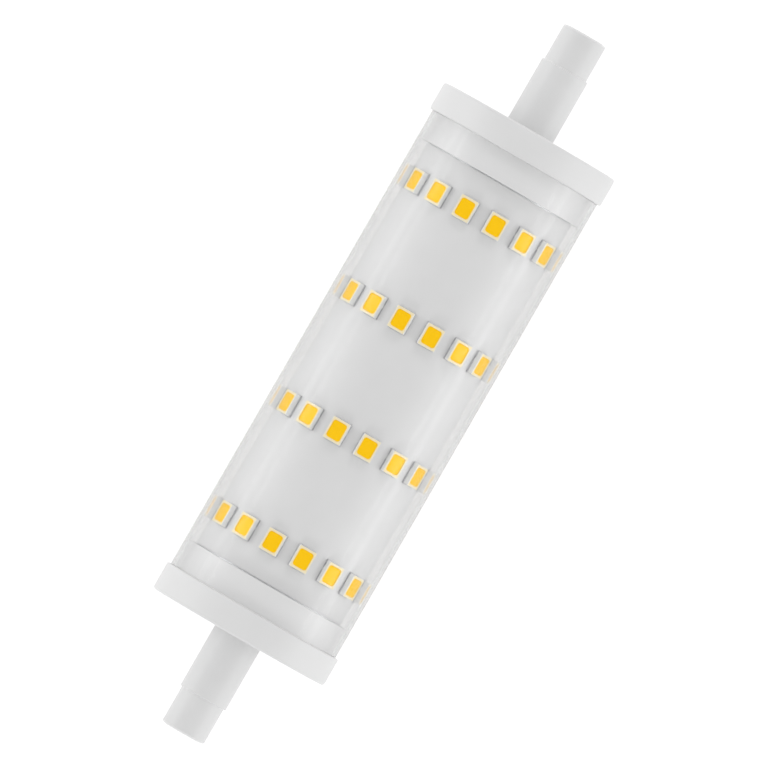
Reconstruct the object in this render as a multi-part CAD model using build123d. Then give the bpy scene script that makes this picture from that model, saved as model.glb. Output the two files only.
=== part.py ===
from build123d import *
import math
import os

# Double-ended linear LED bulb with a recessed contact at each end, in millimetres.
# The lamp lies along X with its centre at the origin, and +Z points up.
# Both ends are the same moulding. The flexible LED board is wrapped around an
# aluminium tube, and its seam faces down, to -Z.

# Lengths along the lamp, from the tip inwards
lamp_length = 118.0
tip_length = 6.0
stub_length = 10.3
flange_thickness = 4.4
plug_length = 4.4

# End cap, outside
tip_diameter = 7.0
tip_dome_drop = 0.25
tip_dome_width = 0.75
tip_edge_chamfer = 0.2
stub_step = 0.3
flange_overhang = 0.5
flange_front_chamfer = 0.28
flange_back_chamfer = 0.2

# End cap, inside
cap_wall = 1.6
socket_depth = 3.0
socket_shoulder = 1.0
core_fit = 0.08
core_end_gap = 0.1
stub_bore_diameter = 4.4
shank_web = 3.0

# Contact button
contact_depth = 1.9
recess_diameter = 4.0
recess_ledge = 0.25
contact_fit = 0.05
contact_head_thickness = 1.2
shank_diameter = 1.8
shank_tail = 1.6

# Core tube and the board around it
core_diameter = 23.9
core_wall = 0.9
notch_depth = 2.6
notch_clearance = 0.4
bond_line = 0.02
board_thickness = 0.2
board_end_gap = 0.2
seam_width = 1.2
tab_width = 3.2
tab_setback = 0.3
keyway_clearance = 0.18

# LED packages
row_count = 4
leds_per_row = 16
row_end_margin = 5.67
led_width = 2.8
led_length = 3.5
led_height = 0.8
window_side_rim = 0.25
window_end_rim = 0.35
window_depth = 0.55
fill_recess = 0.04
pad_thickness = 0.11
pad_inset = 0.2
anode_length = 0.8
pad_split = 0.5

# Clear cover tube
cover_clearance = 0.2
cover_wall = 0.55
cover_end_gap = 0.05
plug_fit = 0.05

# Driver inside the core
sleeve_gap = 0.1
sleeve_wall = 0.3
sleeve_setback = 0.2
driver_board_drop = 3.0
driver_board_thickness = 1.2
driver_edge_gap = 0.15
driver_corner = 0.8
driver_end_margin = 3.2
component_gap = 1.2
fuse_body_length = 7.5
fuse_body_diameter = 3.2
fuse_offset = 4.5
varistor_diameter = 7.0
varistor_thickness = 3.2
varistor_lead_spacing = 5.0
varistor_offset = 4.9
lead_diameter = 0.6
lead_reach = 0.9
part_stand_off = 0.3
film_capacitor_length = 10.0
film_capacitor_width = 4.5
film_capacitor_height = 8.0
film_capacitor_edge = 0.5
inductor_length = 10.0
inductor_width = 4.6
inductor_height = 8.6
inductor_yoke = 1.3
inductor_leg = 2.6
winding_fit = 0.1
winding_bulge = 1.8
winding_edge = 0.6
can_diameter = 8.0
can_length = 12.0
can_edge_chamfer = 0.5
can_lead_spacing = 3.5
rectifier_length = 4.7
rectifier_width = 3.9
rectifier_height = 2.3
rectifier_legs = 2
rectifier_leg_width = 0.7
chip_length = 4.9
chip_width = 3.9
chip_height = 1.5
chip_legs = 4
chip_leg_width = 0.4
diode_length = 4.3
diode_width = 2.6
diode_height = 2.1
diode_legs = 1
diode_leg_width = 1.4
package_gap = 2.4
leg_thickness = 0.2
leg_reach = 1.0
resistor_length = 2.0
resistor_width = 1.25
resistor_height = 0.5
resistor_pitch = 3.2
resistor_offset = 5.2

# Wires inside
wire_sides = 8
supply_wire_diameter = 1.3
supply_wire_inset = 1.5
led_wire_diameter = 1.1
led_wire_drop = 3.0
led_wire_inset = 6.5
solder_gap = 0.03

# Stations along the right half of the lamp
half_length = lamp_length / 2
step_x = half_length - tip_length
flange_x = step_x - stub_length
cover_seat_x = flange_x - flange_thickness
plug_x = cover_seat_x - plug_length
contact_x = half_length - contact_depth
head_seat_x = contact_x - contact_head_thickness
web_x = head_seat_x - shank_web
shank_end_x = web_x - shank_tail
socket_x = plug_x + socket_depth
cavity_x = flange_x - cap_wall
core_end_x = socket_x - core_end_gap
notch_x = core_end_x - notch_depth
board_end_x = plug_x - board_end_gap
tab_end_x = core_end_x - tab_setback
sleeve_end_x = notch_x - sleeve_setback

# Radii, from the core outwards
core_radius = core_diameter / 2
core_bore_radius = core_radius - core_wall
board_inner_radius = core_radius + bond_line
board_outer_radius = board_inner_radius + board_thickness
led_base_radius = board_outer_radius + pad_thickness
led_face_radius = led_base_radius + led_height
led_corner_radius = math.hypot(led_face_radius, led_width / 2)
cover_inner_radius = led_corner_radius + cover_clearance
cover_outer_radius = cover_inner_radius + cover_wall
plug_radius = cover_inner_radius - plug_fit
flange_radius = cover_outer_radius + flange_overhang

# Radii of the end cap and its contact
tip_radius = tip_diameter / 2
stub_radius = tip_radius + stub_step
socket_radius = core_radius + core_fit
cavity_radius = core_radius - socket_shoulder
stub_bore_radius = stub_bore_diameter / 2
recess_radius = recess_diameter / 2
pocket_radius = recess_radius - recess_ledge
contact_head_radius = pocket_radius - contact_fit
shank_radius = shank_diameter / 2
shank_bore_radius = shank_radius + contact_fit

# The board's tabs at the seam, and the notch and keyway that clear them
tab_reach = seam_width / 2 + tab_width
notch_reach = tab_reach + notch_clearance
keyway_radius = board_outer_radius + keyway_clearance
keyway_reach = tab_reach + keyway_clearance

# Driver board inside its sleeve
sleeve_outer_radius = core_bore_radius - sleeve_gap
sleeve_inner_radius = sleeve_outer_radius - sleeve_wall
driver_top_z = -driver_board_drop
driver_bottom_z = driver_top_z - driver_board_thickness
driver_half_width = math.sqrt(sleeve_inner_radius ** 2 - driver_bottom_z ** 2) - driver_edge_gap
lead_radius = lead_diameter / 2
fuse_slot = fuse_body_length + 2 * (lead_reach + lead_radius)
can_slot = can_length + lead_reach + lead_radius
top_slots = [fuse_slot, film_capacitor_length, inductor_length, can_slot]
driver_length = sum(top_slots) + component_gap * (len(top_slots) - 1) + 2 * driver_end_margin
driver_half_length = driver_length / 2


def turned(outline):
    """Turn a closed outline, drawn as (x, radius), about the lamp's axis."""
    return revolve(outline, Axis.X)


def closed_outline(points):
    """Close a list of points into a face."""
    return make_face(Polyline(*points, close=True))


def tube(inner_radius, outer_radius, start_x, end_x):
    """A straight tube along the lamp's axis."""
    return turned(
        closed_outline(
            [
                (start_x, inner_radius),
                (end_x, inner_radius),
                (end_x, outer_radius),
                (start_x, outer_radius),
            ]
        )
    )


def block(start, end):
    """A box between two opposite corners, given in any order."""
    size = [abs(b - a) for a, b in zip(start, end)]
    middle = [(a + b) / 2 for a, b in zip(start, end)]
    return Pos(*middle) * Box(*size)


def both_ends(solid):
    """One piece at the right end, and the same piece turned round at the left end."""
    return [Rot(Z=180) * solid, solid]


def end_cap():
    """Right end cap: plug, flange, stub and tip in one hollow moulding."""
    edge_x = half_length - tip_dome_drop
    outline = closed_outline(
        [
            (plug_x, socket_radius),
            (plug_x, plug_radius),
            (cover_seat_x, plug_radius),
            (cover_seat_x, flange_radius - flange_back_chamfer),
            (cover_seat_x + flange_back_chamfer, flange_radius),
            (flange_x - flange_front_chamfer, flange_radius),
            (flange_x, flange_radius - flange_front_chamfer),
            (flange_x, stub_radius),
            (step_x, stub_radius),
            (step_x, tip_radius),
            (edge_x - tip_edge_chamfer, tip_radius),
            (edge_x, tip_radius - tip_edge_chamfer),
            (half_length, tip_radius - tip_dome_width),
            (half_length, recess_radius),
            (contact_x, recess_radius),
            (contact_x, pocket_radius),
            (head_seat_x, pocket_radius),
            (head_seat_x, shank_bore_radius),
            (web_x, shank_bore_radius),
            (web_x, stub_bore_radius),
            (cavity_x, stub_bore_radius),
            (cavity_x, cavity_radius),
            (socket_x, cavity_radius),
            (socket_x, socket_radius),
        ]
    )
    keyway = tube(cavity_radius, keyway_radius, plug_x, socket_x)
    keyway &= block((plug_x, -keyway_reach, -flange_radius), (socket_x, keyway_reach, 0))
    return turned(outline) - keyway


def contact():
    """Right contact: a flat button on a shank that passes through the cap's web."""
    return turned(
        closed_outline(
            [
                (shank_end_x, 0),
                (contact_x, 0),
                (contact_x, contact_head_radius),
                (head_seat_x, contact_head_radius),
                (head_seat_x, shank_radius),
                (shank_end_x, shank_radius),
            ]
        )
    )


def core_tube():
    """Aluminium tube, notched at its right end where the LED wires come out."""
    notch = block((notch_x, -notch_reach, -flange_radius), (half_length, notch_reach, 0))
    return tube(core_bore_radius, core_radius, -core_end_x, core_end_x) - notch


def led_board():
    """Flexible board, wrapped into a split tube, with a tab each side of its seam."""
    wrapped = tube(board_inner_radius, board_outer_radius, -board_end_x, board_end_x)
    tab_ring = tube(board_inner_radius, board_outer_radius, board_end_x, tab_end_x)
    tabs = tab_ring & block((board_end_x, -tab_reach, -flange_radius), (tab_end_x, tab_reach, 0))
    seam = block((-half_length, -seam_width / 2, -flange_radius), (half_length, seam_width / 2, 0))
    return wrapped + tabs - seam


def window_block(depth):
    """A block with the outline of the LED's window, raised from the window's floor."""
    floor_radius = led_face_radius - window_depth
    half_window_length = led_length / 2 - window_end_rim
    half_window_width = led_width / 2 - window_side_rim
    return block(
        (-half_window_length, -half_window_width, floor_radius),
        (half_window_length, half_window_width, floor_radius + depth),
    )


def led_housing():
    """One white LED package on the lamp's top line, with its window open."""
    body = block(
        (-led_length / 2, -led_width / 2, led_base_radius),
        (led_length / 2, led_width / 2, led_face_radius),
    )
    return body - window_block(window_depth)


def led_fill():
    """The phosphor filling of one LED window."""
    return window_block(window_depth - fill_recess)


def led_pads():
    """The two solder pads under one LED, which stand on the board's top line."""
    half_width = led_width / 2 - pad_inset
    end_x = led_length / 2 - pad_inset
    anode_end_x = anode_length - end_x
    return [
        block((start_x, -half_width, board_outer_radius), (stop_x, half_width, led_base_radius))
        for start_x, stop_x in [(-end_x, anode_end_x), (anode_end_x + pad_split, end_x)]
    ]


def led_row(row, pieces):
    """Copy one LED's pieces around the lamp at one row, starting from the seam."""
    first_x = -board_end_x + row_end_margin
    row_pitch = 2 * -first_x / (row_count - 1)
    row_x = first_x + row * row_pitch
    pitch = 360 / leds_per_row
    copies = []
    for index in range(leds_per_row):
        place = Pos(X=row_x) * Rot(X=180 + (index + 0.5) * pitch)
        for piece in pieces:
            copies.append(place * piece)
    return copies


def driver_board():
    """Circuit board of the driver, held by its long edges in the sleeve."""
    board = block(
        (-driver_half_length, -driver_half_width, driver_bottom_z),
        (driver_half_length, driver_half_width, driver_top_z),
    )
    return chamfer(board.edges().filter_by(Axis.Z), driver_corner)


def top_slot_centre(slot):
    """Middle of one slot in the chain of parts on top of the driver board."""
    start_x = -driver_half_length + driver_end_margin
    start_x += sum(top_slots[:slot]) + component_gap * slot
    return start_x + top_slots[slot] / 2


def wire(points, diameter):
    """A wire of eight-sided section, along straight runs that meet in mitred corners."""
    path = Polyline(*points)
    section = Plane(origin=path @ 0, z_dir=path % 0) * RegularPolygon(diameter / 2, wire_sides)
    return sweep(section, path=path, transition=Transition.RIGHT)


def bent_lead(x, y, z, direction):
    """A round lead that leaves a part along X and turns down to the board."""
    outer_x = x + direction * lead_reach
    return wire([(x, y, z), (outer_x, y, z), (outer_x, y, driver_top_z)], lead_diameter)


def fuse_resistor():
    """Fusible resistor, lying along the board with its leads bent down."""
    middle_x = top_slot_centre(0)
    body_radius = fuse_body_diameter / 2
    z = driver_top_z + part_stand_off + body_radius
    body = Pos(middle_x, fuse_offset, z) * Rot(Y=90) * Cylinder(body_radius, fuse_body_length)
    for direction in (-1, 1):
        body += bent_lead(middle_x + direction * fuse_body_length / 2, fuse_offset, z, direction)
    return body


def varistor():
    """Disc varistor, standing on its two leads beside the fusible resistor."""
    middle_x = top_slot_centre(0)
    radius = varistor_diameter / 2
    z = driver_top_z + part_stand_off + radius
    solid = Pos(middle_x, -varistor_offset, z) * Rot(X=90) * Cylinder(radius, varistor_thickness)
    for direction in (-1, 1):
        x = middle_x + direction * varistor_lead_spacing / 2
        solid += wire([(x, -varistor_offset, z), (x, -varistor_offset, driver_top_z)], lead_diameter)
    return solid


def film_capacitor():
    """Boxed film capacitor, standing on the board."""
    box = Box(
        film_capacitor_length,
        film_capacitor_width,
        film_capacitor_height,
        align=(Align.CENTER, Align.CENTER, Align.MIN),
    )
    box = chamfer(box.edges().filter_by(Axis.Z), film_capacitor_edge)
    return Pos(top_slot_centre(1), 0, driver_top_z) * box


def inductor_core():
    """Ferrite core of the inductor: a frame around two windows, with a leg between them."""
    middle_x = top_slot_centre(2)
    low_z = driver_top_z + inductor_yoke
    high_z = driver_top_z + inductor_height - inductor_yoke
    core = block(
        (middle_x - inductor_length / 2, -inductor_width / 2, driver_top_z),
        (middle_x + inductor_length / 2, inductor_width / 2, driver_top_z + inductor_height),
    )
    for direction in (-1, 1):
        near_x = middle_x + direction * inductor_leg / 2
        far_x = middle_x + direction * (inductor_length / 2 - inductor_yoke)
        core -= block((near_x, -inductor_width, low_z), (far_x, inductor_width, high_z))
    return core


def inductor_winding():
    """Copper winding around the core's middle leg."""
    low_z = driver_top_z + inductor_yoke + winding_fit
    height = inductor_height - 2 * (inductor_yoke + winding_fit)
    hole_length = inductor_leg + 2 * winding_fit
    hole_width = inductor_width + 2 * winding_fit
    outer_length = inductor_length - 2 * (inductor_yoke + winding_fit)
    outer_width = hole_width + 2 * winding_bulge
    ring = chamfer(Rectangle(outer_length, outer_width).vertices(), winding_edge)
    ring -= Rectangle(hole_length, hole_width)
    return Pos(top_slot_centre(2), 0, low_z) * extrude(ring, height)


def bulk_capacitor():
    """Electrolytic can, lying along the board, with its two leads at one end."""
    radius = can_diameter / 2
    start_x = top_slot_centre(3) - can_slot / 2
    end_x = start_x + can_length
    z = driver_top_z + part_stand_off + radius
    can = turned(
        closed_outline(
            [
                (start_x, 0),
                (start_x, radius - can_edge_chamfer),
                (start_x + can_edge_chamfer, radius),
                (end_x, radius),
                (end_x, 0),
            ]
        )
    )
    can = Pos(Z=z) * can
    for side in (-1, 1):
        can += bent_lead(end_x, side * can_lead_spacing / 2, z, 1)
    return can


def underside_centre(slot):
    """Middle of one package in the chain under the driver board."""
    lengths = [rectifier_length, chip_length, diode_length]
    start_x = -driver_half_length + driver_end_margin
    return start_x + sum(lengths[:slot]) + package_gap * slot + lengths[slot] / 2


def package(slot, length, width, height, legs_per_side, leg_width):
    """Moulded package under the driver board, with legs along both long sides."""
    middle_x = underside_centre(slot)
    low_z = driver_bottom_z - height
    body = block(
        (middle_x - length / 2, -width / 2, low_z),
        (middle_x + length / 2, width / 2, driver_bottom_z - leg_thickness),
    )
    leg_pitch = length / legs_per_side
    knee_z = driver_bottom_z - height / 2
    for leg in range(legs_per_side):
        leg_x = middle_x - length / 2 + (leg + 0.5) * leg_pitch
        near_x = leg_x - leg_width / 2
        far_x = leg_x + leg_width / 2
        for side in (-1, 1):
            root_y = side * (width / 2 - leg_thickness)
            knee_y = side * (width / 2 + leg_reach / 2)
            foot_y = side * (width / 2 + leg_reach)
            inner_y = knee_y - side * leg_thickness
            body += block((near_x, root_y, knee_z), (far_x, knee_y, knee_z + leg_thickness))
            body += block((near_x, inner_y, knee_z), (far_x, knee_y, driver_bottom_z))
            foot_z = driver_bottom_z - leg_thickness
            body += block((near_x, inner_y, foot_z), (far_x, foot_y, driver_bottom_z))
    return body


def chip_resistors():
    """Two lines of small chip resistors, each side of the driver chip."""
    pieces = []
    for column in (-1, 0, 1):
        x = underside_centre(1) + column * resistor_pitch
        for side in (-1, 1):
            y = side * resistor_offset
            pieces.append(
                block(
                    (x - resistor_length / 2, y - resistor_width / 2, driver_bottom_z - resistor_height),
                    (x + resistor_length / 2, y + resistor_width / 2, driver_bottom_z),
                )
            )
    return pieces


def supply_wire(direction):
    """Wire from the end of a contact's shank to the end of the driver board."""
    pad_x = driver_half_length - supply_wire_inset
    points = [
        (direction * shank_end_x, 0, 0),
        (direction * pad_x, 0, 0),
        (direction * pad_x, 0, driver_top_z),
    ]
    return wire(points, supply_wire_diameter)


def led_wire(side):
    """Wire from under the driver board to one tab of the LED board."""
    y = side * (seam_width + tab_width) / 2
    outer_y = abs(y) + led_wire_diameter / 2
    tab_z = -math.sqrt(board_inner_radius ** 2 - outer_y ** 2) + solder_gap
    board_x = driver_half_length - led_wire_inset
    tab_x = core_end_x - notch_depth / 2
    run_z = driver_bottom_z - led_wire_drop
    points = [
        (board_x, y, driver_bottom_z),
        (board_x, y, run_z),
        (tab_x, y, run_z),
        (tab_x, y, tab_z),
    ]
    return wire(points, led_wire_diameter)


parts = {
    "cover_tube": [tube(cover_inner_radius, cover_outer_radius,
                        cover_end_gap - cover_seat_x, cover_seat_x - cover_end_gap)],
    "end_caps": both_ends(end_cap()),
    "contacts": both_ends(contact()),
    "core_tube": [core_tube()],
    "led_board": [led_board()],
    "insulating_sleeve": [tube(sleeve_inner_radius, sleeve_outer_radius, -sleeve_end_x, sleeve_end_x)],
    "driver_board": [driver_board()],
    "fuse_resistor": [fuse_resistor()],
    "varistor": [varistor()],
    "film_capacitor": [film_capacitor()],
    "inductor_core": [inductor_core()],
    "inductor_winding": [inductor_winding()],
    "bulk_capacitor": [bulk_capacitor()],
    "bridge_rectifier": [
        package(0, rectifier_length, rectifier_width, rectifier_height, rectifier_legs, rectifier_leg_width)
    ],
    "driver_chip": [package(1, chip_length, chip_width, chip_height, chip_legs, chip_leg_width)],
    "freewheel_diode": [package(2, diode_length, diode_width, diode_height, diode_legs, diode_leg_width)],
    "chip_resistors": chip_resistors(),
    "supply_wires": [supply_wire(-1), supply_wire(1)],
    "led_wire_positive": [led_wire(1)],
    "led_wire_negative": [led_wire(-1)],
}
for row in range(row_count):
    parts[f"led_housings_row_{row + 1}"] = led_row(row, [led_housing()])
    parts[f"led_phosphor_row_{row + 1}"] = led_row(row, [led_fill()])
    parts[f"led_solder_row_{row + 1}"] = led_row(row, led_pads())

os.makedirs("parts", exist_ok=True)
for name, pieces in parts.items():
    solids = [solid for piece in pieces for solid in piece.solids()]
    shape = solids[0] if len(solids) == 1 else Compound(solids)
    export_step(shape, f"parts/{name}.step")
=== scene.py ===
import math

import bmesh
import bpy
from mathutils import Matrix, Vector


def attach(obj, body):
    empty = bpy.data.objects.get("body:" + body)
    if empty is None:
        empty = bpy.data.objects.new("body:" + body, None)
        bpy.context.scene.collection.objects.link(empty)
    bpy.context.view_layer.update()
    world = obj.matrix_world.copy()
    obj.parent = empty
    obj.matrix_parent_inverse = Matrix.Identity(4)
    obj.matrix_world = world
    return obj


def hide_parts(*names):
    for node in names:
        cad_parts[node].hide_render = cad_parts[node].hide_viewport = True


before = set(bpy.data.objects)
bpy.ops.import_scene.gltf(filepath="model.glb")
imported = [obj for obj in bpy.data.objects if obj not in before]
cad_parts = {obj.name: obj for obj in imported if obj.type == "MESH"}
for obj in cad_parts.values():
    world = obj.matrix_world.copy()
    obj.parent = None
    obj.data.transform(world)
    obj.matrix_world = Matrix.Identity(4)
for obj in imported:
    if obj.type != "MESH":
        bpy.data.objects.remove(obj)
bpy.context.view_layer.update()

# Looks of the double-ended LED bulb. Shapes and finishes are given in millimetres, and the
# meshes are made in metres. The camera, the floor and the lights are given in metres.
MM = 0.001

# Lengths along the lamp, from the tip inwards, the same as in the CAD source
LAMP_LENGTH = 118.0
TIP_LENGTH = 6.0
STUB_LENGTH = 10.3
FLANGE_THICKNESS = 4.4
PLUG_LENGTH = 4.4
CAP_WALL = 1.6
SOCKET_DEPTH = 3.0
CONTACT_DEPTH = 1.9
HEAD_THICKNESS = 1.2
SHANK_WEB = 3.0
SHANK_TAIL = 1.6
COVER_END_GAP = 0.05
BOARD_END_GAP = 0.2
CORE_END_GAP = 0.1
TAB_SETBACK = 0.3
ROW_END_MARGIN = 5.67

# Sizes across the lamp, also the same
TIP_DIAMETER = 7.0
STUB_STEP = 0.3
STUB_BORE_DIAMETER = 4.4
RECESS_DIAMETER = 4.0
RECESS_LEDGE = 0.25
CONTACT_FIT = 0.05
SHANK_DIAMETER = 1.8
CORE_DIAMETER = 23.9
CORE_FIT = 0.08
SOCKET_SHOULDER = 1.0
BOND_LINE = 0.02
BOARD_THICKNESS = 0.2
SEAM_WIDTH = 1.2
TAB_WIDTH = 3.2
KEYWAY_CLEARANCE = 0.18
COVER_CLEARANCE = 0.2
COVER_WALL = 0.55
PLUG_FIT = 0.05
FLANGE_OVERHANG = 0.5

# LED packages, with a rim around the window that the filling shows in
LEDS_PER_ROW = 16
LED_LENGTH = 3.5
LED_WIDTH = 2.8
LED_HEIGHT = 0.8
LED_CORNER = 0.1
WINDOW_END_RIM = 0.35
WINDOW_SIDE_RIM = 0.25
CUP_DEPTH = 0.55
FILLING_LEVEL = 0.05
FILLING_GAP = 0.005

# Pads below the packages: their foot lies inside the board and their solder climbs the wall
PAD_FOOT = 0.17
PAD_HEIGHT = 0.11
PAD_REACH = 0.05
JOINT_CLIMB = 0.10
LONG_PAD_END = 0.1
SHORT_PAD_START = 0.6

# The tip's slightly domed end, and the dimple in the contacts
DOME_HEIGHT = 0.17
DOME_WIDTH = 0.9
DIMPLE_DEPTH = 0.08
DIMPLE_FLOOR_EDGE = 0.06
DIMPLE_FLOOR_RADIUS = 0.5
DIMPLE_RADIUS = 0.9

# Stations along the right half of the lamp
TIP_END = LAMP_LENGTH / 2
STEP = TIP_END - TIP_LENGTH
FLANGE_FRONT = STEP - STUB_LENGTH
FLANGE_BACK = FLANGE_FRONT - FLANGE_THICKNESS
PLUG_END = FLANGE_BACK - PLUG_LENGTH
SOCKET_END = PLUG_END + SOCKET_DEPTH
CAVITY_END = FLANGE_FRONT - CAP_WALL
CONTACT_FACE = TIP_END - CONTACT_DEPTH
HEAD_SEAT = CONTACT_FACE - HEAD_THICKNESS
WEB_END = HEAD_SEAT - SHANK_WEB
SHANK_END = WEB_END - SHANK_TAIL
COVER_END = FLANGE_BACK - COVER_END_GAP
BOARD_END = PLUG_END - BOARD_END_GAP
TAB_END = SOCKET_END - CORE_END_GAP - TAB_SETBACK
ROW_END = BOARD_END - ROW_END_MARGIN
ROW_STATIONS = [-ROW_END, -ROW_END / 3, ROW_END / 3, ROW_END]

# Radii from the core outwards. The cover's is rounded to a thousandth.
CORE_RADIUS = CORE_DIAMETER / 2
CAVITY_RADIUS = CORE_RADIUS - SOCKET_SHOULDER
SOCKET_RADIUS = CORE_RADIUS + CORE_FIT
BOARD_RADIUS = CORE_RADIUS + BOND_LINE + BOARD_THICKNESS
LED_BASE_RADIUS = BOARD_RADIUS + PAD_HEIGHT
LED_CORNER_RADIUS = math.hypot(LED_BASE_RADIUS + LED_HEIGHT, LED_WIDTH / 2)
COVER_INNER_RADIUS = round(LED_CORNER_RADIUS + COVER_CLEARANCE, 3)
COVER_OUTER_RADIUS = COVER_INNER_RADIUS + COVER_WALL
PLUG_RADIUS = COVER_INNER_RADIUS - PLUG_FIT
FLANGE_RADIUS = COVER_OUTER_RADIUS + FLANGE_OVERHANG

# Radii of the tip, its bores and the contact
TIP_RADIUS = TIP_DIAMETER / 2
STUB_RADIUS = TIP_RADIUS + STUB_STEP
STUB_BORE_RADIUS = STUB_BORE_DIAMETER / 2
RECESS_RADIUS = RECESS_DIAMETER / 2
POCKET_RADIUS = RECESS_RADIUS - RECESS_LEDGE
CONTACT_RADIUS = POCKET_RADIUS - CONTACT_FIT
SHANK_RADIUS = SHANK_DIAMETER / 2
SHANK_BORE_RADIUS = SHANK_RADIUS + CONTACT_FIT

# The board's tabs beside the seam, the keyway that clears them, and the LED's window
TAB_REACH = SEAM_WIDTH / 2 + TAB_WIDTH
KEYWAY_RADIUS = BOARD_RADIUS + KEYWAY_CLEARANCE
KEYWAY_REACH = TAB_REACH + KEYWAY_CLEARANCE
WINDOW_LENGTH = LED_LENGTH - 2 * WINDOW_END_RIM
WINDOW_WIDTH = LED_WIDTH - 2 * WINDOW_SIDE_RIM

# Fineness and tolerances of the meshes, and the angles above which their edges stay sharp
TAB_STEPS = 8
SIDE_STEPS = 120
LAMP_SEGMENTS = 256
CONTACT_SEGMENTS = 64
SUPPORT_OFFSET = 0.02
MERGE_DISTANCE = 0.0001
RADIUS_TOLERANCE = 0.01
SHARP_ANGLE = 40.0
LED_SHARP_ANGLE = 35.0

# Range in which the values of the noise mostly lie, and its detail in the grain
NOISE_LOW = 0.3
NOISE_HIGH = 0.7
GRAIN_DETAIL = 4.0

# Painted shade of the clear cover, as (slant of the line of sight, share of the light that stays).
# The grey where the line of sight grazes the tube is painted shade, not the wall's own colour.
COVER_GRAZING_SHADE = [
    (0.32, 1.0),
    (0.45, 0.87),
    (0.54, 0.72),
    (0.64, 0.68),
    (0.75, 0.62),
    (0.84, 0.52),
    (0.98, 0.44),
]

# Brightness of the sky, as (sine of the height above the horizon, level)
SKY = [(0.0, 0.84), (0.40, 0.84), (0.90, 0.74), (0.99, 0.70)]

# The floor's half width, and the camera's height and its turn in degrees
FLOOR_REACH_M = 3.0
CAMERA_HEIGHT_M = 3.1214
CAMERA_TURN = -60.0

# Pairs of lights on opposite sides: names, the first one's place, width, height and watts
LIGHT_PAIRS = [
    ("softbox_front", "softbox_back", (0.0, -0.647, 0.268), 0.27, 0.10, 0.50),
    ("strip_front", "strip_back", (0.0, -0.8, 0.1), 0.6, 0.16, 0.6),
    ("softbox_right", "softbox_left", (0.52, 0.0, 0.30), 0.3, 0.12, 0.42),
]


def camera_over_the_lamp():
    """The photograph looks straight down, with the lamp's right end up and to the right."""
    camera = bpy.data.cameras.new("photo_camera")
    camera.sensor_width = 36.0
    camera.lens = 1000.0
    camera.clip_start = 0.1
    camera.clip_end = 12.0
    holder = bpy.data.objects.new("photo_camera", camera)
    holder.location = (0.0, 0.0, CAMERA_HEIGHT_M)
    holder.rotation_euler = (0.0, 0.0, math.radians(CAMERA_TURN))
    bpy.context.scene.collection.objects.link(holder)
    bpy.context.scene.camera = holder


def new_material(name):
    """A material with one Principled shader, its node tree and the shader."""
    material = bpy.data.materials.new(name)
    material.use_nodes = True
    tree = material.node_tree
    tree.nodes.clear()
    output = tree.nodes.new("ShaderNodeOutputMaterial")
    shader = tree.nodes.new("ShaderNodeBsdfPrincipled")
    tree.links.new(shader.outputs["BSDF"], output.inputs["Surface"])
    return material, tree, shader


def noise(tree, size, detail=3.0):
    """Noise with features of one size, fixed to the object, and its value's socket."""
    place = tree.nodes.new("ShaderNodeTexCoord")
    mapping = tree.nodes.new("ShaderNodeMapping")
    mapping.inputs["Scale"].default_value = [1.0 / (size * MM)] * 3
    texture = tree.nodes.new("ShaderNodeTexNoise")
    texture.inputs["Scale"].default_value = 1.0
    texture.inputs["Detail"].default_value = detail
    tree.links.new(place.outputs["Object"], mapping.inputs["Vector"])
    tree.links.new(mapping.outputs["Vector"], texture.inputs["Vector"])
    return texture.outputs["Fac"]


def between(tree, value, low, high):
    """A number that runs from low to high as the noise does, and its socket."""
    spread = tree.nodes.new("ShaderNodeMapRange")
    spread.inputs["From Min"].default_value = NOISE_LOW
    spread.inputs["From Max"].default_value = NOISE_HIGH
    spread.inputs["To Min"].default_value = low
    spread.inputs["To Max"].default_value = high
    tree.links.new(value, spread.inputs["Value"])
    return spread.outputs["Result"]


def mottle(tree, shader, value, dark, light):
    """Base colour that wanders between two close shades."""
    shades = tree.nodes.new("ShaderNodeValToRGB")
    shades.color_ramp.elements[0].position = NOISE_LOW
    shades.color_ramp.elements[0].color = (*dark, 1.0)
    shades.color_ramp.elements[1].position = NOISE_HIGH
    shades.color_ramp.elements[1].color = (*light, 1.0)
    tree.links.new(value, shades.inputs["Fac"])
    tree.links.new(shades.outputs["Color"], shader.inputs["Base Color"])


def grain(tree, shader, value, height):
    """Fine relief of one height, in millimetres."""
    bump = tree.nodes.new("ShaderNodeBump")
    bump.inputs["Distance"].default_value = height * MM
    bump.inputs["Strength"].default_value = 1.0
    tree.links.new(value, bump.inputs["Height"])
    tree.links.new(bump.outputs["Normal"], shader.inputs["Normal"])


def ramp(tree, value, stops):
    """Grey levels between stops of (position, level), and their socket."""
    shades = tree.nodes.new("ShaderNodeValToRGB")
    for position, level in stops:
        stop = shades.color_ramp.elements.new(position)
        stop.color = (level, level, level, 1.0)
    shades.color_ramp.elements.remove(shades.color_ramp.elements[0])
    shades.color_ramp.elements.remove(shades.color_ramp.elements[-1])
    tree.links.new(value, shades.inputs["Fac"])
    return shades.outputs["Color"]


def mixed(tree, share, first, second):
    """Two shaders mixed by a share, and the socket of the mix."""
    mix = tree.nodes.new("ShaderNodeMixShader")
    tree.links.new(share, mix.inputs[0])
    tree.links.new(first, mix.inputs[1])
    tree.links.new(second, mix.inputs[2])
    return mix.outputs["Shader"]


def finish_of(name, dark, light, patch, rough, grain_size, grain_height, metallic=0.0):
    """A solid finish with two shades in patches, a range of roughness and a fine grain.

    It gives back the material and its shader."""
    material, tree, shader = new_material(name)
    mottle(tree, shader, noise(tree, patch), dark, light)
    roughness = between(tree, noise(tree, patch / 2), *rough)
    tree.links.new(roughness, shader.inputs["Roughness"])
    grain(tree, shader, noise(tree, grain_size, GRAIN_DETAIL), grain_height)
    shader.inputs["Metallic"].default_value = metallic
    return material, shader


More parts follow.
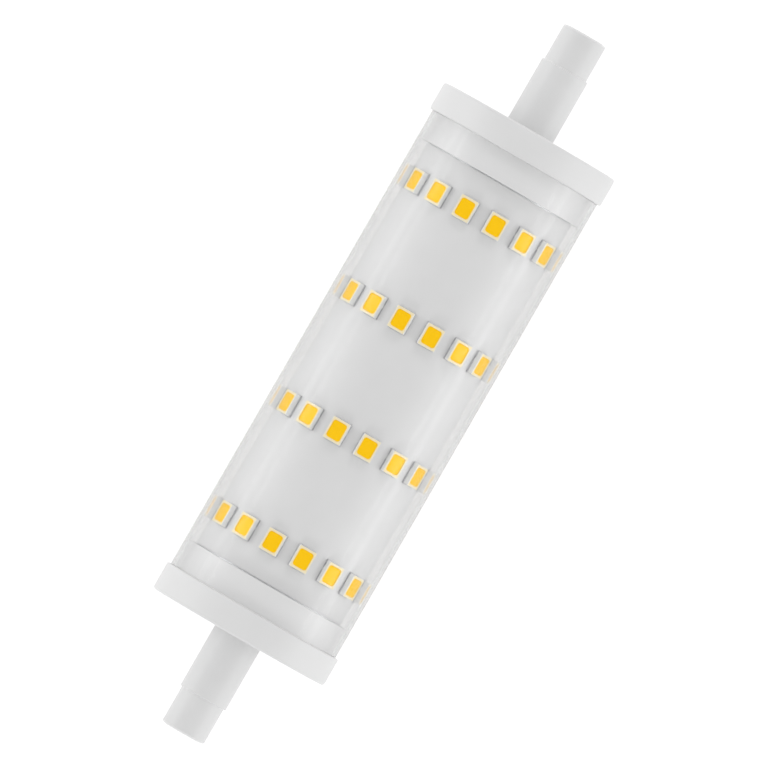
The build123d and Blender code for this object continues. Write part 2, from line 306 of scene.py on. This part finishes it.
def cap_material():
    material, shader = finish_of(
        "cap_plastic",
        dark=(0.68, 0.68, 0.68),
        light=(0.70, 0.70, 0.70),
        patch=6.0,
        rough=(0.40, 0.50),
        grain_size=0.16,
        grain_height=0.004,
    )
    shader.inputs["IOR"].default_value = 1.40
    return material


def board_material():
    material, shader = finish_of(
        "board_solder_mask",
        dark=(0.66, 0.66, 0.66),
        light=(0.68, 0.68, 0.68),
        patch=5.0,
        rough=(0.45, 0.55),
        grain_size=0.25,
        grain_height=0.003,
    )
    shader.inputs["IOR"].default_value = 1.40
    return material


def cover_material():
    """Clear moulded tube, with painted shade where the line of sight grazes it."""
    material, tree, shader = new_material("cover_clear")
    slant = tree.nodes.new("ShaderNodeLayerWeight").outputs["Facing"]
    # Painted shade: the base colour turns grey as the line of sight grazes the tube
    tree.links.new(ramp(tree, slant, COVER_GRAZING_SHADE), shader.inputs["Base Color"])
    roughness = between(tree, noise(tree, size=9.0), low=0.08, high=0.10)
    tree.links.new(roughness, shader.inputs["Roughness"])
    shader.inputs["Transmission Weight"].default_value = 1.0
    shader.inputs["IOR"].default_value = 1.5
    shader.inputs["Specular Tint"].default_value = (0.01, 0.01, 0.01, 1.0)
    # Light on its way to what is inside passes the tube as if it weren't there
    clear = tree.nodes.new("ShaderNodeBsdfTransparent").outputs["BSDF"]
    path = tree.nodes.new("ShaderNodeLightPath")
    surface = mixed(tree, path.outputs["Is Diffuse Ray"], shader.outputs["BSDF"], clear)
    surface = mixed(tree, path.outputs["Is Shadow Ray"], surface, clear)
    output = next(node for node in tree.nodes if node.type == "OUTPUT_MATERIAL")
    tree.links.new(surface, output.inputs["Surface"])
    return material


def led_housing_material():
    return finish_of(
        "led_white_moulding",
        dark=(0.74, 0.74, 0.73),
        light=(0.80, 0.80, 0.78),
        patch=0.9,
        rough=(0.3, 0.45),
        grain_size=0.08,
        grain_height=0.003,
    )[0]


def led_rim_material():
    """The thin wall around the cup, which the filling tints."""
    return finish_of(
        "led_warm_rim",
        dark=(0.82, 0.71, 0.44),
        light=(0.86, 0.76, 0.52),
        patch=0.4,
        rough=(0.3, 0.45),
        grain_size=0.08,
        grain_height=0.003,
    )[0]


def phosphor_material():
    """Yellow silicone with a faint glow. The glow is partly the phosphor's real glow in daylight and
    partly painted light that makes the yellow brighter than its colour can reflect.
    """
    material, shader = finish_of(
        "led_yellow_silicone",
        dark=(0.80, 0.480, 0.001),
        light=(0.84, 0.510, 0.002),
        patch=0.5,
        rough=(0.22, 0.32),
        grain_size=0.12,
        grain_height=0.006,
    )
    shader.inputs["IOR"].default_value = 1.34
    shader.inputs["Specular Tint"].default_value = (1.0, 0.92, 0.60, 1.0)
    # Painted light, partly real: a faint orange glow that brightens the yellow
    shader.inputs["Emission Color"].default_value = (1.0, 0.46, 0.0, 1.0)
    shader.inputs["Emission Strength"].default_value = 0.14
    return material


def nickel_material():
    return finish_of(
        "contact_nickel",
        dark=(0.60, 0.58, 0.55),
        light=(0.68, 0.66, 0.62),
        patch=0.8,
        rough=(0.2, 0.36),
        grain_size=0.1,
        grain_height=0.002,
        metallic=1.0,
    )[0]


def solder_material():
    return finish_of(
        "solder_joint",
        dark=(0.48, 0.48, 0.49),
        light=(0.60, 0.60, 0.62),
        patch=0.4,
        rough=(0.34, 0.50),
        grain_size=0.08,
        grain_height=0.010,
        metallic=1.0,
    )[0]


# Materials of the CAD nodes that stay: two shades, size of the patches, range of roughness,
# size and height of the grain, and metallic where it isn't 0
CAD_FINISHES = {
    "drawn_aluminium": ((0.72, 0.73, 0.74), (0.80, 0.80, 0.81), 3.0, (0.45, 0.60), 0.2, 0.004, 0.7),
    "insulating_film": ((0.80, 0.74, 0.58), (0.86, 0.81, 0.66), 4.0, (0.30, 0.45), 0.3, 0.004),
    "green_board": ((0.03, 0.16, 0.06), (0.05, 0.22, 0.09), 2.5, (0.28, 0.42), 0.15, 0.006),
    "lacquered_resistor": ((0.20, 0.36, 0.26), (0.26, 0.42, 0.31), 1.2, (0.32, 0.48), 0.2, 0.012),
    "blue_epoxy": ((0.01, 0.05, 0.28), (0.02, 0.08, 0.38), 1.5, (0.22, 0.38), 0.35, 0.012),
    "yellow_box": ((0.62, 0.42, 0.03), (0.70, 0.50, 0.06), 1.8, (0.34, 0.46), 0.12, 0.006),
    "ferrite": ((0.030, 0.030, 0.033), (0.050, 0.050, 0.055), 0.8, (0.50, 0.68), 0.08, 0.010),
    "enamelled_copper": ((0.55, 0.18, 0.05), (0.68, 0.27, 0.09), 0.8, (0.22, 0.34), 0.25, 0.03, 1.0),
    "capacitor_sleeve": ((0.010, 0.012, 0.018), (0.020, 0.022, 0.030), 2.0, (0.28, 0.40), 0.3, 0.006),
    "black_epoxy": ((0.012, 0.012, 0.013), (0.022, 0.022, 0.024), 0.7, (0.42, 0.60), 0.06, 0.006),
    "chip_ceramic": ((0.020, 0.020, 0.024), (0.040, 0.040, 0.046), 0.5, (0.36, 0.52), 0.06, 0.004),
    "white_insulation": ((0.66, 0.66, 0.64), (0.74, 0.74, 0.72), 1.5, (0.40, 0.52), 0.1, 0.004),
    "red_insulation": ((0.42, 0.012, 0.008), (0.52, 0.022, 0.014), 1.5, (0.40, 0.52), 0.1, 0.004),
    "black_insulation": ((0.012, 0.012, 0.012), (0.022, 0.022, 0.022), 1.5, (0.42, 0.55), 0.1, 0.004),
}

NODE_FINISHES = {
    "core_tube": "drawn_aluminium",
    "insulating_sleeve": "insulating_film",
    "driver_board": "green_board",
    "fuse_resistor": "lacquered_resistor",
    "varistor": "blue_epoxy",
    "film_capacitor": "yellow_box",
    "inductor_core": "ferrite",
    "inductor_winding": "enamelled_copper",
    "bulk_capacitor": "capacitor_sleeve",
    "bridge_rectifier": "black_epoxy",
    "driver_chip": "black_epoxy",
    "freewheel_diode": "black_epoxy",
    "chip_resistors": "chip_ceramic",
    "supply_wires": "white_insulation",
    "led_wire_positive": "red_insulation",
    "led_wire_negative": "black_insulation",
}


def dress_cad_nodes():
    """Give each CAD node that stays its own procedural finish."""
    made = {name: finish_of(name, *finish)[0] for name, finish in CAD_FINISHES.items()}
    for node, name in NODE_FINISHES.items():
        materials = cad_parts[node].data.materials
        materials.clear()
        materials.append(made[name])


def rounded_outline(corners, steps=5):
    """A closed outline of (x, radius, rounding) corners, each corner replaced by an arc.

    A point just outside each end of an arc keeps the shading of the straight runs even."""
    points = []
    for index, (x, radius, rounding) in enumerate(corners):
        here = Vector((x, radius))
        if rounding == 0:
            points.append(here)
            continue
        before = (Vector(corners[index - 1][:2]) - here).normalized()
        after = (Vector(corners[(index + 1) % len(corners)][:2]) - here).normalized()
        half_angle = before.angle(after) / 2
        centre = here + (before + after).normalized() * rounding / math.sin(half_angle)
        reach = rounding / math.tan(half_angle)
        start = here + before * reach - centre
        end = here + after * reach - centre
        points.append(here + before * (reach + SUPPORT_OFFSET))
        for step in range(steps + 1):
            points.append(centre + start.slerp(end, step / steps).normalized() * rounding)
        points.append(here + after * (reach + SUPPORT_OFFSET))
    return points


def shaded(name, vertices, faces, material, sharp_angle=SHARP_ANGLE):
    """A mesh object in metres, from points in millimetres, smooth except at sharp edges."""
    mesh = bpy.data.meshes.new(name)
    mesh.from_pydata([[value * MM for value in point] for point in vertices], [], faces)
    solid = bmesh.new()
    solid.from_mesh(mesh)
    bmesh.ops.remove_doubles(solid, verts=solid.verts, dist=MERGE_DISTANCE * MM)
    bmesh.ops.recalc_face_normals(solid, faces=solid.faces)
    solid.to_mesh(mesh)
    solid.free()
    mesh.polygons.foreach_set("use_smooth", [True] * len(mesh.polygons))
    mesh.set_sharp_from_angle(angle=math.radians(sharp_angle))
    mesh.materials.append(material)
    piece = bpy.data.objects.new(name, mesh)
    bpy.context.scene.collection.objects.link(piece)
    return piece


def turned(outlines, segments, reach=None):
    """Vertices and faces of closed outlines turned about the lamp's axis.

    reach(point, angle) gives the radius of a point at one angle from straight down."""
    vertices = []
    faces = []
    for outline in outlines:
        first = len(vertices)
        count = len(outline)
        for segment in range(segments):
            angle = 2 * math.pi * segment / segments
            for point in outline:
                radius = reach(point, angle) if reach else point.y
                vertices.append((point.x, radius * math.sin(angle), -radius * math.cos(angle)))
        for segment in range(segments):
            low = first + segment * count
            high = first + (segment + 1) % segments * count
            for index in range(count):
                beyond = (index + 1) % count
                faces.append((low + index, low + beyond, high + beyond, high + index))
    return vertices, faces


def both_ends(outline):
    """An outline at the right end and the same outline turned round to the left end."""
    return [outline, [Vector((-point.x, point.y)) for point in reversed(outline)]]


def keyed_socket(point, angle):
    """The cap's socket is deeper where the board's tabs pass, on the underside."""
    in_socket = abs(point.y - SOCKET_RADIUS) < RADIUS_TOLERANCE
    from_below = min(angle, 2 * math.pi - angle)
    in_keyway = from_below < math.asin(KEYWAY_REACH / KEYWAY_RADIUS)
    return KEYWAY_RADIUS if in_socket and in_keyway else point.y


def end_caps(material):
    """Both end mouldings, with the small roundings of their edges."""
    outline = rounded_outline(
        [
            (PLUG_END, SOCKET_RADIUS, 0),
            (PLUG_END, PLUG_RADIUS, 0.05),
            (FLANGE_BACK, PLUG_RADIUS, 0),
            (FLANGE_BACK, FLANGE_RADIUS, 0.28),
            (FLANGE_FRONT, FLANGE_RADIUS, 0.42),
            (FLANGE_FRONT, STUB_RADIUS, 0.25),
            (STEP, STUB_RADIUS, 0.14),
            (STEP, TIP_RADIUS, 0.08),
            (TIP_END - DOME_HEIGHT, TIP_RADIUS, 0.3),
            (TIP_END, TIP_RADIUS - DOME_WIDTH, 0.5),
            (TIP_END, RECESS_RADIUS, 0.08),
            (CONTACT_FACE, RECESS_RADIUS, 0),
            (CONTACT_FACE, POCKET_RADIUS, 0),
            (HEAD_SEAT, POCKET_RADIUS, 0),
            (HEAD_SEAT, SHANK_BORE_RADIUS, 0),
            (WEB_END, SHANK_BORE_RADIUS, 0),
            (WEB_END, STUB_BORE_RADIUS, 0),
            (CAVITY_END, STUB_BORE_RADIUS, 0),
            (CAVITY_END, CAVITY_RADIUS, 0),
            (SOCKET_END, CAVITY_RADIUS, 0),
            (SOCKET_END, SOCKET_RADIUS, 0),
        ]
    )
    vertices, faces = turned(both_ends(outline), LAMP_SEGMENTS, keyed_socket)
    piece = shaded("end_caps_rounded", vertices, faces, material)
    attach(piece, "root")
    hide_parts("end_caps")


def cover_tube(material):
    """The clear cover, with slightly rounded rims."""
    outline = rounded_outline(
        [
            (-COVER_END, COVER_INNER_RADIUS, 0.05),
            (-COVER_END, COVER_OUTER_RADIUS, 0.06),
            (COVER_END, COVER_OUTER_RADIUS, 0.06),
            (COVER_END, COVER_INNER_RADIUS, 0.05),
        ]
    )
    vertices, faces = turned([outline], LAMP_SEGMENTS)
    piece = shaded("cover_tube_clear", vertices, faces, material)
    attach(piece, "root")
    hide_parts("cover_tube")


def contacts(material):
    """Both contact buttons, with a rounded rim and a shallow dimple."""
    outline = rounded_outline(
        [
            (SHANK_END, 0.0, 0),
            (CONTACT_FACE - DIMPLE_DEPTH, 0.0, 0),
            (CONTACT_FACE - DIMPLE_FLOOR_EDGE, DIMPLE_FLOOR_RADIUS, 0.2),
            (CONTACT_FACE, DIMPLE_RADIUS, 0.3),
            (CONTACT_FACE, CONTACT_RADIUS, 0.22),
            (HEAD_SEAT, CONTACT_RADIUS, 0),
            (HEAD_SEAT, SHANK_RADIUS, 0),
            (SHANK_END, SHANK_RADIUS, 0.1),
        ]
    )
    vertices, faces = turned(both_ends(outline), CONTACT_SEGMENTS)
    piece = shaded("contacts_turned", vertices, faces, material)
    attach(piece, "root")
    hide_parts("contacts")


def led_board(material):
    """The flexible board as a thin wrapped sheet, with its seam and tabs on the underside."""
    seam = math.asin(SEAM_WIDTH / 2 / BOARD_RADIUS)
    tab_edge = math.asin(TAB_REACH / BOARD_RADIUS)
    angles = [seam + (tab_edge - seam) * step / TAB_STEPS for step in range(TAB_STEPS)]
    angles += [tab_edge + (math.pi - tab_edge) * step / SIDE_STEPS for step in range(SIDE_STEPS)]
    angles += [2 * math.pi - angle for angle in reversed(angles)]
    stations = [-BOARD_END, BOARD_END, TAB_END]
    vertices = []
    for radius in (BOARD_RADIUS, BOARD_RADIUS - BOARD_THICKNESS):
        for angle in angles:
            for x in stations:
                vertices.append((x, radius * math.sin(angle), -radius * math.cos(angle)))
    outer = []
    for index in range(len(angles) - 1):
        low = index * len(stations)
        high = low + len(stations)
        outer.append((low, low + 1, high + 1, high))
        middle = (angles[index] + angles[index + 1]) / 2
        if min(middle, 2 * math.pi - middle) < tab_edge:
            outer.append((low + 1, low + 2, high + 2, high + 1))
    below = len(angles) * len(stations)
    inner = [tuple(corner + below for corner in reversed(face)) for face in outer]
    sides = [(face[corner - 1], face[corner]) for face in outer for corner in range(4)]
    rim = [(a, b, b + below, a + below) for a, b in sides if (b, a) not in sides]
    piece = shaded("led_board_sheet", vertices, outer + inner + rim, material)
    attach(piece, "root")
    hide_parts("led_board")


def rounded_rectangle(length, width, corner, steps=4):
    """Points of a rectangle with rounded corners, seen from above."""
    points = []
    for quarter, (side_x, side_y) in enumerate([(1, 1), (-1, 1), (-1, -1), (1, -1)]):
        centre_x = side_x * (length / 2 - corner)
        centre_y = side_y * (width / 2 - corner)
        for step in range(steps + 1):
            angle = math.pi / 2 * (quarter + step / steps)
            points.append((centre_x + corner * math.cos(angle), centre_y + corner * math.sin(angle)))
    return points


def rings_of(length, width, levels):
    """Rings of one rectangle.

    Each level says how much its ring is smaller, the ring's corner and its height."""
    return [
        (rounded_rectangle(length - smaller, width - smaller, corner), height)
        for smaller, corner, height in levels
    ]


def stacked(rings):
    """A closed solid from rings of the same number of points, given as (outline, height)."""
    vertices = [(x, y, height) for outline, height in rings for x, y in outline]
    count = len(rings[0][0])
    faces = [tuple(reversed(range(count)))]
    for ring in range(len(rings) - 1):
        low = ring * count
        for index in range(count):
            beyond = (index + 1) % count
            faces.append((low + index, low + beyond, low + count + beyond, low + count + index))
    last = (len(rings) - 1) * count
    faces.append(tuple(range(last, last + count)))
    return vertices, faces


def led_housing_shape():
    """White package: a rounded box with a cup that narrows towards its floor.

    Its last value gives each face's tone: 0 for the box and 1 for the cup and its rim."""
    box = [
        (0.0, LED_CORNER, 0.0),
        (0.0, LED_CORNER, LED_HEIGHT - 0.07),
        (0.04, LED_CORNER, LED_HEIGHT - 0.02),
        (0.12, LED_CORNER, LED_HEIGHT),
    ]
    cup = [
        (0.0, 0.42, LED_HEIGHT),
        (0.04, 0.40, LED_HEIGHT - 0.03),
        (0.3, 0.35, LED_HEIGHT - CUP_DEPTH),
    ]
    rings = rings_of(LED_LENGTH, LED_WIDTH, box) + rings_of(WINDOW_LENGTH, WINDOW_WIDTH, cup)
    points, sides = stacked(rings)
    box_sides = 1 + (len(box) - 1) * len(rings[0][0])
    return points, sides, [0] * box_sides + [1] * (len(sides) - box_sides)


def led_phosphor_shape():
    """Silicone filling, slightly hollow between its raised edge."""
    floor = LED_HEIGHT - CUP_DEPTH + FILLING_GAP
    top = LED_HEIGHT - FILLING_LEVEL
    levels = [
        (0.32, 0.34, floor),
        (0.07, 0.40, top),
        (0.17, 0.40, top - 0.015),
        (0.5, 0.35, top - 0.03),
        (1.2, 0.3, top - 0.035),
    ]
    points, sides = stacked(rings_of(WINDOW_LENGTH, WINDOW_WIDTH, levels))
    return points, sides, [0] * len(sides)


def led_solder_shape():
    """The two soldered pads, which show as a thin dark line around the package's base."""
    reach = LED_LENGTH / 2 + PAD_REACH
    # How much each ring is shorter than the pad and wider than the package, and its height
    levels = [
        (0.0, PAD_REACH, -PAD_FOOT),
        (0.0, PAD_REACH, -PAD_HEIGHT),
        (0.02, PAD_REACH / 2, -PAD_HEIGHT / 2),
        (0.06, 0.03, 0.0),
        (0.09, 0.015, JOINT_CLIMB),
    ]
    points = []
    sides = []
    for start, stop in [(-reach, LONG_PAD_END), (SHORT_PAD_START, reach)]:
        middle = (start + stop) / 2
        rings = [
            (rounded_rectangle(stop - start - shorter, LED_WIDTH + wider, LED_CORNER), height)
            for shorter, wider, height in levels
        ]
        pad, pad_sides = stacked(rings)
        first = len(points)
        points += [(x + middle, y, height) for x, y, height in pad]
        sides += [tuple(first + corner for corner in side) for side in pad_sides]
    return points, sides, [0] * len(sides)


def led_ring(name, station, shape, materials, node):
    """One ring of copies of an LED piece, standing for its CAD node."""
    vertices = []
    faces = []
    points, sides, tones = shape
    for index in range(LEDS_PER_ROW):
        turn = math.radians(180 + (index + 0.5) * 360 / LEDS_PER_ROW)
        place = Matrix.Translation((station, 0, 0)) @ Matrix.Rotation(turn, 4, "X")
        place = place @ Matrix.Translation((0, 0, LED_BASE_RADIUS))
        first = len(vertices)
        vertices += [place @ Vector(point) for point in points]
        faces += [tuple(first + corner for corner in side) for side in sides]
    piece = shaded(name, vertices, faces, materials[0], LED_SHARP_ANGLE)
    for material in materials[1:]:
        piece.data.materials.append(material)
    piece.data.polygons.foreach_set("material_index", tones * LEDS_PER_ROW)
    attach(piece, "root")
    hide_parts(node)


def led_rings():
    """All rings: packages, their fillings and their soldered pads."""
    housing = [led_housing_material(), led_rim_material()]
    phosphor = [phosphor_material()]
    solder = [solder_material()]
    kinds = [
        ("led_packages", led_housing_shape(), housing, "led_housings_row", "led_housing"),
        ("led_silicone", led_phosphor_shape(), phosphor, "led_phosphor_row", "led_phosphor"),
        ("led_joints", led_solder_shape(), solder, "led_solder_row", "solder"),
    ]
    for number, station in enumerate(ROW_STATIONS, start=1):
        for name, shape, materials, node, slot in kinds:
            led_ring(f"{name}_{number}", station, shape, materials, f"{node}_{number}")


def studio_floor():
    """Light floor below the lamp, which glows a little so that it stays white."""
    material, _, shader = new_material("light_floor")
    shader.inputs["Base Color"].default_value = (0.45, 0.45, 0.45, 1.0)
    shader.inputs["Roughness"].default_value = 0.9
    shader.inputs["Specular IOR Level"].default_value = 0.0
    shader.inputs["Emission Color"].default_value = (1.0, 1.0, 1.0, 1.0)
    shader.inputs["Emission Strength"].default_value = 0.68
    mesh = bpy.data.meshes.new("floor")
    quarters = [(-1, -1), (1, -1), (1, 1), (-1, 1)]
    corners = [(x * FLOOR_REACH_M, y * FLOOR_REACH_M, 0) for x, y in quarters]
    mesh.from_pydata(corners, [], [(0, 1, 2, 3)])
    mesh.materials.append(material)
    floor = bpy.data.objects.new("floor", mesh)
    floor.location = (0.0, 0.0, -FLANGE_RADIUS * MM)
    bpy.context.scene.collection.objects.link(floor)


def studio_sky():
    """Even light from all around, a little darker overhead."""
    world = bpy.data.worlds.new("studio")
    bpy.context.scene.world = world
    world.use_nodes = True
    tree = world.node_tree
    place = tree.nodes.new("ShaderNodeTexCoord")
    parts = tree.nodes.new("ShaderNodeSeparateXYZ")
    tree.links.new(place.outputs["Generated"], parts.inputs["Vector"])
    fade = ramp(tree, parts.outputs["Z"], SKY)
    tree.links.new(fade, tree.nodes["Background"].inputs["Color"])


def softbox(name, place, width, height, power):
    """A rectangular light that faces the lamp and doesn't show in the picture."""
    light = bpy.data.lights.new(name, "AREA")
    light.shape = "RECTANGLE"
    light.size = width
    light.size_y = height
    light.energy = power
    holder = bpy.data.objects.new(name, light)
    holder.location = place
    holder.rotation_euler = (-Vector(place)).to_track_quat("-Z", "Y").to_euler()
    holder.visible_camera = False
    bpy.context.scene.collection.objects.link(holder)


def studio_lights():
    """Pairs of equal lights on opposite sides of the lamp."""
    for name, opposite, (x, y, z), width, height, power in LIGHT_PAIRS:
        softbox(name, (x, y, z), width, height, power)
        softbox(opposite, (0.0 - x, 0.0 - y, z), width, height, power)


camera_over_the_lamp()
bpy.context.scene.view_settings.view_transform = "Standard"
studio_floor()
studio_sky()
studio_lights()

end_caps(cap_material())
cover_tube(cover_material())
led_rings()
contacts(nickel_material())
led_board(board_material())
dress_cad_nodes()
